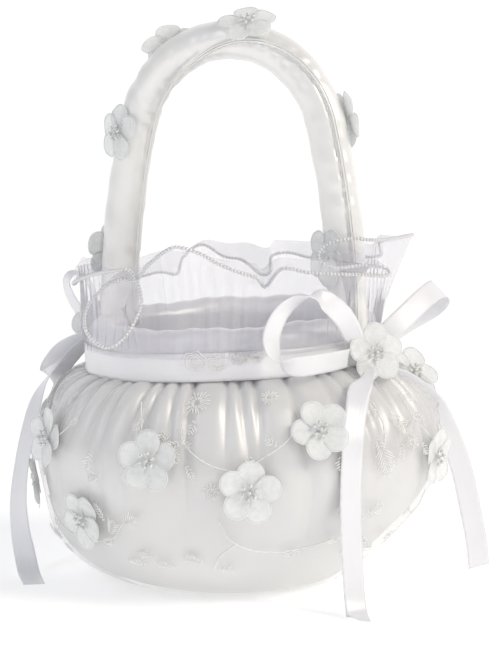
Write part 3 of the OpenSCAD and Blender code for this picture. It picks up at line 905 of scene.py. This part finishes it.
def arch_at(turn):
    """The handle's middle line by the angle from the top: point, outward direction."""
    a = math.radians(abs(turn))
    hand = 1 if turn >= 0 else -1
    if abs(turn) <= ARCH_TURN:
        x, z = ARCH_R * math.sin(a), arch_top - ARCH_R * (1 - math.cos(a))
    else:
        x = join_x + leg_r * (math.sin(a) - math.sin(math.radians(ARCH_TURN)))
        z = join_z - leg_r * (math.cos(math.radians(ARCH_TURN)) - math.cos(a))
    return np.array([hand * x, 0, z]), np.array([hand * math.sin(a), 0, math.cos(a)])


def tube_point(turn, spin, radius):
    """A point round the handle. spin 0 faces outwards, 90 the front, 180 inwards."""
    middle, outward = arch_at(turn)
    a = math.radians(spin)
    return middle + radius * (math.cos(a) * outward + math.sin(a) * np.array([0, -1.0, 0]))


def seam_spin(turn):
    """Where the seam lies round the tube."""
    return 104 - 74 * math.sin(math.radians(max(-90, min(90, turn)))) - 8 * math.sin(math.radians(3 * turn))


leg_steps = 60
handle_turns = np.concatenate([
    -(ARCH_TURN + (90 - ARCH_TURN) * np.linspace(1, 0, leg_steps, endpoint=False)),
    np.linspace(-ARCH_TURN, ARCH_TURN, 130),
    ARCH_TURN + (90 - ARCH_TURN) * np.linspace(0, 1, leg_steps + 1)[1:]])
spins = np.linspace(0, 360, 72, endpoint=False)
handle_rows = []
for i, turn in enumerate(handle_turns):
    seam = seam_spin(turn)
    ring = []
    for spin in spins:
        away = (spin - seam + 180) % 360 - 180
        near = math.exp(-(away / 46) ** 2)
        pucker = 0.34 * math.sin(i * 0.95 + 0.02 * away) * near * (0.6 + 0.4 * math.sin(i * 0.13))
        slack = (0.35 * math.sin(i * 0.21 + math.radians(2 * spin))
                 + 0.25 * math.sin(i * 0.47 + math.radians(spin)))
        if turn < -20:
            slack += (0.45 * math.sin(i * 0.62 + math.radians(3 * spin))
                      * ease(20, 50, -turn) * ease(86, 70, -turn))
        groove = -0.7 * math.exp(-((abs(away) - 9) / 5) ** 2) + 0.9 * math.exp(-(away / 5) ** 2)
        ring.append(tube_point(turn, spin, tube_r + (pucker + 0.6 * slack + groove - 0.3) * MM))
    handle_rows.append(ring)
for end in (0, -1):
    tuck = [[p[0] * 0.985, p[1] * 0.9, p[2] - 7 * MM] for p in handle_rows[end]]
    handle_rows.insert(0 if end == 0 else len(handle_rows), tuck)
handle_cover = grid_mesh("handle_cover_satin", handle_rows)
face_outwards(handle_cover)
thicken(handle_cover, 0.4 * MM)
# The handle's copy of the ivory satin is lighter than the body's: painted light, for the stronger light that
# falls on the raised handle. The seam lip shares this copy.
handle_satin_painted_lighter = satin("ivory_satin_handle_painted_lighter", "fcfbf8", "f5f5f2")
dress(handle_cover, handle_satin_painted_lighter)
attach(handle_cover, "basket")
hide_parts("handle_cover")

core_r = 2.7 * MM         # the wadding's bore, round the steel core
padding_spins = np.linspace(0, 360, 36, endpoint=False)
padding_rows = []
for i, turn in enumerate(handle_turns[::2]):
    padding_rows.append([tube_point(turn, spin, tube_r - (1.9 + 0.3 * math.sin(i * 0.8 + spin)) * MM)
                         for spin in padding_spins])
for turn in handle_turns[::-2]:
    padding_rows.append([tube_point(turn, spin, core_r) for spin in padding_spins])
padding_rows.append(padding_rows[0])
handle_padding = grid_mesh("handle_wadding", padding_rows)
face_outwards(handle_padding, weld=0.00002)
dress(handle_padding, wadding_white)
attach(handle_padding, "basket")
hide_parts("handle_padding")

lip = Stitchwork()
for offset in (-3.0, 3.0):
    lip.tube([tube_point(turn, seam_spin(turn) + offset, tube_r + 0.7 * MM) for turn in handle_turns],
             0.6 * MM)
for i in range(2, len(handle_turns) - 3, 3):
    turn, ahead = handle_turns[i], handle_turns[i + 2]
    start = tube_point(turn, seam_spin(turn) + 9, tube_r - 0.1 * MM)
    end = tube_point(ahead, seam_spin(ahead) + 9, tube_r - 0.1 * MM)
    middle, _ = arch_at(turn)
    lip.stitch(start, end, (start - middle) / np.linalg.norm(start - middle), 0.3 * MM)
handle_seam = lip.piece("handle_seam_lip", handle_satin_painted_lighter)
project_uv(handle_seam, lambda place: (place.x + place.y, place.z))
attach(handle_seam, "basket")
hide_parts("handle_piping")


# ---- Flowers -------------------------------------------------------------------------
# Each flower is five petals of doubled organza, cut with a hot knife that leaves
# a raised bright edge, drawn together by the thread of its seven pearls.

def petal_organza(name):
    """Doubled stiff organza: milky, faintly green blue, with a fine weave in it."""
    cloth = new_material(name)
    where = add_node(cloth, "TexCoord").outputs["Object"]
    cloudy = add_node(cloth, "TexNoise", {"Vector": where, "Scale": 220, "Detail": 4, "Roughness": 0.6})
    fine = add_node(cloth, "TexNoise", {"Vector": where, "Scale": 1500, "Detail": 2})
    tint = add_node(cloth, "Mix", {0: cloudy.outputs["Fac"], 6: linear("f6fbf8"), 7: linear("ffffff")},
                    data_type="RGBA")
    sheer = add_node(cloth, "MapRange", {"Value": cloudy.outputs["Fac"], 1: 0.3, 2: 0.7, 3: 0.62, 4: 0.78})
    relief = add_node(cloth, "Bump", {"Height": fine.outputs["Fac"], "Strength": 0.4, "Distance": 0.0002})
    skin = add_node(cloth, "BsdfPrincipled", {
        "Base Color": tint.outputs[2], "Roughness": 0.5, "Alpha": sheer.outputs[0],
        "Normal": relief.outputs[0], "Sheen Weight": 0.4})
    add_node(cloth, "OutputMaterial", {"Surface": skin.outputs[0]})
    return cloth


petal_cloth = petal_organza("doubled_petal_organza")
# The melted rim of a hot-cut petal is a clear bright bead of polyester.
petal_rim = mottled("hot_cut_petal_edge", "ffffff", "f4f9f7", {"Scale": 900, "Detail": 2},
                    {"Roughness": 0.3, "Coat Weight": 0.3})
pearl_white = pearl_coat("silver_white_pearl", "f2f2ef", "cfd0d0", 0.22)
# In mm: a flower from its middle to a petal's tip, half a petal's width, a
# pearl's diameter, and the ring of six pearls round the middle one.
FLOWER_R, PETAL_R, PEARL_D, PEARL_RING = 17.5, 7.4, 2.4, 4.0


def pearls(name, places):
    """The pearls of one or more flowers, as one piece."""
    return strung(name, places, PEARL_D * MM, pearl_white, 14, 9)


def flower(name, node_name, centre, normal, spin, seed, cup=1.0):
    """One flower, with its middle at centre and facing along normal. Returns its pearls' places."""
    rng = np.random.default_rng(seed)
    normal = np.asarray(normal, float) / np.linalg.norm(normal)
    right = np.cross([0, 0, 1.0], normal)
    right = right / np.linalg.norm(right) if np.linalg.norm(right) > 0.1 else np.array([1.0, 0, 0])
    up = np.cross(normal, right)
    work, edges = Stitchwork(), Stitchwork()
    for k in range(5):
        turn = math.radians(72 * k + spin + rng.uniform(-5, 5))
        tip = FLOWER_R * rng.uniform(0.94, 1.03)
        half = PETAL_R * rng.uniform(0.95, 1.05)
        lift, twist = rng.uniform(0.5, 2.4) * cup, rng.uniform(-0.13, 0.13)
        sink = 0.22 * k

        def petal_point(share, around):
            """A place on the petal: the share of the way out from its middle, and the angle round it."""
            x = (tip - PETAL_R) + PETAL_R * share * math.cos(around) - 2.2 * share * max(0, -math.cos(around))
            y = half * share * math.sin(around) * (1 - 0.34 * max(0, -math.cos(around)))
            wave = 0.35 * math.sin(3 * around + seed) * share ** 2
            h = 0.5 + sink + lift * (x / tip) ** 2 + twist * y + wave + 0.5 * (y / half) ** 2
            sx = x * math.cos(turn) - y * math.sin(turn)
            sy = x * math.sin(turn) + y * math.cos(turn)
            return centre + (right * sx + up * sy + normal * h) * MM

        first = len(work.points)
        rings, sides = 5, 22
        for layer in (0.0, -0.3):
            work.points.append(tuple(petal_point(0, 0) + normal * layer * MM))
            for ring in range(1, rings + 1):
                for j in range(sides):
                    spot = petal_point(ring / rings, 2 * math.pi * j / sides)
                    work.points.append(tuple(spot + normal * layer * MM))
        size = 1 + rings * sides
        for layer in (0, 1):
            base = first + layer * size
            for j in range(sides):
                n = (j + 1) % sides
                faces = [(base, base + 1 + j, base + 1 + n)]
                for ring in range(rings - 1):
                    a = base + 1 + ring * sides
                    faces.append((a + j, a + sides + j, a + sides + n, a + n))
                work.faces += faces if layer == 0 else [tuple(reversed(f)) for f in faces]
        top, low = first + 1 + (rings - 1) * sides, first + size + 1 + (rings - 1) * sides
        for j in range(sides):
            n = (j + 1) % sides
            work.faces.append((top + j, low + j, low + n, top + n))
        outline = [petal_point(1.0, math.radians(bend)) - normal * 0.15 * MM for bend in range(-118, 119, 8)]
        edges.tube(outline, 0.22 * MM, 5)
    petals = work.piece(name, petal_cloth)
    rim = edges.piece(name + "_edge", petal_rim)
    only(petals)
    rim.select_set(True)
    bpy.ops.object.join()
    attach(petals, "basket")
    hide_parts(node_name)
    places = [centre + normal * (3.2 * MM)]
    for k in range(6):
        turn = math.radians(60 * k + spin)
        ray = right * math.cos(turn) + up * math.sin(turn)
        places.append(centre + ray * PEARL_RING * MM + normal * 3.4 * MM)
    return places


# Angle from the front and height of each flower on the body, and its turn.
body_flowers = [(-66, 89, 10), (-49, 48, 50), (-22, 87, 20), (5, 72, 80), (25, 102, 40), (70, 78, 15),
                (88, 116, 60), (122, 52, 35), (146, 92, 5), (170, 56, 70), (196, 90, 25), (220, 50, 55),
                (250, 94, 0), (272, 58, 45)]
body_pearl_places = []
for i, (view, z, spin) in enumerate(body_flowers):
    here, side, up, out = surface_frame(view, z)
    body_pearl_places += flower(f"flower_body_{i + 1:02d}", f"body_flower_{i + 1:02d}",
                                here + out * 1.2 * MM, out, spin, i + 1)
body_pearls = pearls("pearls_on_body", body_pearl_places)
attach(body_pearls, "basket")
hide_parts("body_pearls")

# Angle along the arch from its top, and how far each flower turns to the front.
handle_flowers = [(-77, 64, 15), (11, 30, 30), (-37, -32, 0), (74.5, -48, 50), (-85.5, -26, 20),
                  (85, 118, 60)]
handle_pearl_places = []
for i, (turn, face, spin) in enumerate(handle_flowers):
    middle, _ = arch_at(turn)
    centre = tube_point(turn, face, tube_r + 1.0 * MM)
    handle_pearl_places += flower(f"flower_handle_{i + 1:02d}", f"handle_flower_{i + 1:02d}", centre,
                                  centre - middle, spin, i + 40, cup=-0.6)
handle_pearls = pearls("pearls_on_handle", handle_pearl_places)
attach(handle_pearls, "basket")
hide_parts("handle_pearls")


# ---- Bows ----------------------------------------------------------------------------
# One length of 12.7 mm ribbon makes each bow: two loops and two long tails, held
# by a knot of the same ribbon, and a flower sewn over the knot.

BOW_W = 12.7 * MM
bow_ribbon = ribbon_satin("white_satin_bow_ribbon", "f9f9fb", "f1f2f5", BOW_W)
view_right = np.array([math.cos(math.radians(VIEW_TURN)), math.sin(math.radians(VIEW_TURN)), 0])
view_front = np.array([math.sin(math.radians(VIEW_TURN)), -math.cos(math.radians(VIEW_TURN)), 0])


def ribbon(name, route, count=90, cut=0.0):
    """A flat ribbon along a route. Each stop gives how far right, how far to the front and how high it
    is, in mm, and the direction of the ribbon's width there, in the same terms."""
    line = through([stop[:3] for stop in route], count)
    widths = through([stop[3:] for stop in route], count)
    world = [view_right * p[0] * MM + view_front * p[1] * MM + np.array([0, 0, p[2] * MM]) for p in line]
    rows = [[] for _ in range(9)]
    for i, (point, w) in enumerate(zip(world, widths)):
        way = world[min(i + 1, count - 1)] - world[max(i - 1, 0)]
        way = way / np.linalg.norm(way)
        across = view_right * w[0] + view_front * w[1] + np.array([0, 0, w[2]])
        narrow = min(1.0, np.linalg.norm(across))
        across = across - way * across.dot(way)
        across = across / np.linalg.norm(across)
        face = np.cross(across, way)
        for k, row in enumerate(rows):
            share = k / 8 - 0.5
            slant = way * cut * MM * share * (1 if i > count - 4 else 0)
            curl = face * (0.5 - 2 * share * share) * 0.5 * MM
            spot = point + across * share * BOW_W * narrow + curl + slant
            spot[2] = max(spot[2], 0.45 * MM)
            row.append(spot)
    made = grid_mesh(name, rows, round_it=False)
    thicken(made, 0.3 * MM, 0)
    dress(made, bow_ribbon)
    return made, float(np.linalg.norm(np.diff(np.array(world), axis=0), axis=1).sum())


bow_parts = {
    "bow_right_loop_front": ("basket", [
        (74, 50, 138, 0, .5, .6), (70, 62, 150, -.6, .6, .3), (62, 78, 165, -.75, .65, 0),
        (50, 87, 175, -.75, .65, 0), (38, 89, 174, -.75, .65, 0), (28, 92, 166, -.75, .65, 0),
        (23, 95, 153, -.75, .65, .1), (27, 97, 142, -.6, .6, .4), (38, 94, 137.5, -.3, .4, .8),
        (54, 82, 138, 0, .3, .9), (68, 62, 138, 0, .3, .8)]),
    "bow_right_loop_back": ("basket", [
        (76, 46, 138, .2, .3, .6), (86, 44, 146, .5, .2, -.8), (100, 36, 158, .65, .2, -.73),
        (113, 22, 168, .68, .1, -.72), (121, 8, 171, .68, 0, -.73), (124, -2, 166, .68, 0, -.73),
        (119, -10, 158, .6, -.1, -.78), (104, -4, 150, .5, -.2, -.8), (90, 14, 143, .3, 0, -.8),
        (79, 34, 138, .1, .2, -.6)]),
    "bow_right_tail_front": ("right_tail_front", [
        (79, 61, 132.2, .3, .06, .12), (77.5, 72.3, 129.5, .6, 0, .25), (72.5, 84, 123, 1, -.3, .1),
        (70, 95, 112, 1, -.4, 0), (68, 104, 96, 1, -.4, 0), (67, 106, 74, 1, -.4, 0),
        (67, 107, 52, 1, -.4, 0), (68, 108, 30, 1, -.4, 0), (69, 110, 13, 1, -.4, 0),
        (70, 114, 4, 1, -.4, 0), (71, 121, .8, 1, -.4, 0)]),
    "bow_right_tail_back": ("right_tail_back", [
        (79, 44, 128, .2, .5, .4), (88, 38, 127, .2, .7, .5), (99, 28, 122, .4, .6, .6),
        (110, 18, 115, .4, .3, .5), (117, 12, 107, .8, .1, .4), (123, 8, 97, 1, 0, .3),
        (130, 5, 82, 1, 0, .2), (137, 3, 62, 1, 0, .1), (142, 2, 40, 1, 0, 0), (146, 1, 20, 1, 0, 0),
        (148, 0, 3.5, 1, 0, 0)]),
    "bow_left_loop_back": ("basket", [
        (-82, -44, 140, .3, .6, .5), (-92, -50, 150, .5, .8, .2), (-99, -52, 162, .5, .8, 0),
        (-98, -46, 171, .4, .9, 0), (-90, -40, 174, .3, .9, .2), (-84, -38, 165, .3, .9, .2),
        (-82, -41, 152, .3, .8, .4), (-80, -44, 142, .3, .6, .5)]),
    "bow_left_loop_front": ("basket", [
        (-82, -42, 137, 0, .6, .6), (-92, -44, 134, -.5, .6, .6), (-103, -44, 127, -.7, .3, .6),
        (-110, -38, 118, -.8, .2, .4), (-110, -31, 113, -.6, .1, .8), (-103, -27, 118, -.2, .4, .9),
        (-94, -31, 128, 0, .5, .9), (-83, -38, 138, 0, .6, .6)]),
    "bow_left_tail_front": ("left_tail_front", [
        (-84, -44, 128, .3, .6, .2), (-94, -38, 127, .2, .8, .3), (-104, -28, 121, .3, .8, .4),
        (-112, -18, 112, .4, .8, .3), (-117, -12, 100, .6, .7, 0), (-121, -8, 84, .7, .6, 0),
        (-125, -6, 64, .7, .5, 0), (-127, -4, 44, .8, .4, 0), (-126, -2, 26, .9, .3, 0),
        (-123, 3, 12, 1, .2, 0), (-120, 12, 3, 1, .2, 0), (-117, 24, .8, 1, .2, 0),
        (-115, 34, .6, 1, .2, 0)]),
    "bow_left_tail_back": ("left_tail_back", [
        (-79, -61, 132.2, -.3, -.06, .12), (-77.5, -72.3, 129.5, -.6, 0, .25),
        (-72.5, -82, 123, -1, .2, .1), (-70, -91, 112, -1, .2, 0), (-67, -101, 94, -1, .3, 0),
        (-67, -104, 74, -1, .3, 0), (-68, -106, 52, -1, .3, 0), (-70, -108, 30, -1, .3, 0),
        (-72, -111, 13, -1, .3, 0), (-74, -117, 3, -1, .3, 0), (-76, -127, .8, -1, .3, 0),
        (-77, -133, .6, -1, .3, 0)])}
for node_name, (body, route) in bow_parts.items():
    cut = {"bow_right_tail_front": 9, "bow_right_tail_back": -2}.get(node_name, 0)
    strip, run = ribbon(node_name.replace("bow", "ribbon"), route, cut=cut)
    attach(strip, body)
    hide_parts(node_name)

for hand, side in (("right", 1), ("left", -1)):
    knot_low, knot_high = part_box(f"bow_{hand}_knot")
    knot_x, knot_z = (knot_low[0] + knot_high[0]) / 2, (knot_low[2] + knot_high[2]) / 2
    knot_rows = []
    for k in range(24):
        a = 2 * math.pi * k / 24
        ring = []
        for share in np.linspace(-0.5, 0.5, 7):
            pinch = 1 - 0.25 * math.cos(2 * math.pi * share) + 0.06 * math.sin(5 * a)
            ring.append([knot_x + 4.6 * MM * math.cos(a) * pinch, share * 11 * MM,
                         knot_z + 6.4 * MM * math.sin(a) * pinch])
        knot_rows.append(ring)
    knot_rows.append(knot_rows[0])
    knot = grid_mesh(f"ribbon_{hand}_knot", knot_rows, round_it=False)
    face_outwards(knot, weld=0.00002)
    thicken(knot, 0.6 * MM)
    dress(knot, bow_ribbon)
    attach(knot, "basket")
    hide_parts(f"bow_{hand}_knot")
    facing = np.array([side * 1.0, -0.75 * side, 0.3])
    centre = np.array([knot_x + side * 7 * MM, -side * 11 * MM, knot_z + 4 * MM])
    pearl_places = flower(f"flower_bow_{hand}", f"bow_{hand}_flower", centre, facing, 20, 70 + side, cup=0.5)
    knot_pearls = pearls(f"pearls_bow_{hand}", pearl_places)
    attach(knot_pearls, "basket")
    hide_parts(f"bow_{hand}_pearls")


# ---- Stage, light and camera ---------------------------------------------------------
# A plain white paper floor and backdrop, soft daylight all round, and a warmer
# soft light from the right.

def floor_paint():
    """White paper, lit from behind a little so that it stays white to its far end."""
    paper = new_material("white_paper_floor")
    where = add_node(paper, "TexCoord").outputs["Object"]
    grain = add_node(paper, "TexNoise", {"Vector": where, "Scale": 300})
    tint = add_node(paper, "Mix", {0: grain.outputs["Fac"], 6: linear("fdfdfd"), 7: linear("ffffff")},
                    data_type="RGBA")
    skin = add_node(paper, "BsdfPrincipled", {"Base Color": tint.outputs[2], "Roughness": 0.95,
                                              "Emission Color": tint.outputs[2], "Emission Strength": 0.3})
    add_node(paper, "OutputMaterial", {"Surface": skin.outputs[0]})
    return paper


paper_white = floor_paint()
bpy.ops.object.select_all(action="DESELECT")
bpy.ops.mesh.primitive_plane_add(size=40, location=(0, 0, 0))
floor = bpy.context.object
floor.name = "floor"
dress(floor, paper_white)
floor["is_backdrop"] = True
bpy.ops.object.select_all(action="DESELECT")
backdrop_away = 14
bpy.ops.mesh.primitive_plane_add(
    size=40, rotation=(math.radians(90), 0, math.radians(VIEW_TURN)),
    location=(-backdrop_away * math.sin(math.radians(VIEW_TURN)),
              backdrop_away * math.cos(math.radians(VIEW_TURN)), 0))
backdrop = bpy.context.object
backdrop.name = "backdrop"
backdrop_light = new_material("lit_white_backdrop")
backdrop_skin = add_node(backdrop_light, "Emission", {"Color": linear("ffffff"), "Strength": 1.05})
add_node(backdrop_light, "OutputMaterial", {"Surface": backdrop_skin.outputs[0]})
dress(backdrop, backdrop_light)
backdrop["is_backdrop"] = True

world = bpy.data.worlds.new("studio")
bpy.context.scene.world = world
world.use_nodes = True
world.node_tree.nodes["Background"].inputs["Color"].default_value = linear("fbfbff")
world.node_tree.nodes["Background"].inputs["Strength"].default_value = 0.46
bpy.context.scene.view_settings.view_transform = "Standard"

view_right, view_front = Vector(view_right), Vector(view_front)
middle = Vector((0, 0, 0.14))


def aim(thing, target):
    thing.rotation_euler = (target - thing.location).to_track_quat("-Z", "Y").to_euler()


sun_data = bpy.data.lights.new("window_light", "SUN")
sun_data.energy = 0.9
sun_data.angle = math.radians(28)
sun_data.color = linear("fff6ea")[:3]
sun = bpy.data.objects.new("window_light", sun_data)
sun.location = middle + view_right * 1.7 + view_front * 0.8 + Vector((0, 0, 1.3))
bpy.context.collection.objects.link(sun)
aim(sun, middle)
for name, side, front, up, power, width, tint in (("softbox_left", -1.1, 1.0, 0.9, 2.8, 0.15, "eef1ff"),
                                                  ("softbox_right", 1.1, 0.8, 1.0, 3.6, 0.2, "fff8ee")):
    box_data = bpy.data.lights.new(name, "AREA")
    box_data.shape = "RECTANGLE"
    box_data.size, box_data.size_y = width, 1.0
    box_data.energy = power
    box_data.color = linear(tint)[:3]
    softbox = bpy.data.objects.new(name, box_data)
    softbox.location = middle + view_right * side + view_front * front + Vector((0, 0, up))
    bpy.context.collection.objects.link(softbox)
    aim(softbox, middle)

camera_data = bpy.data.cameras.new("camera")
camera = bpy.data.objects.new("camera", camera_data)
bpy.context.collection.objects.link(camera)
camera_distance, camera_lift = 1.5, math.radians(7.5)
frame_height = 0.393
camera_data.lens = 36 * camera_distance / frame_height
target = view_right * 0.0112 + Vector((0, 0, 0.144))
camera.location = target + camera_distance * (
    view_front * math.cos(camera_lift) + Vector((0, 0, math.sin(camera_lift))))
aim(camera, target)
bpy.context.scene.camera = camera

low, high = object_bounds()
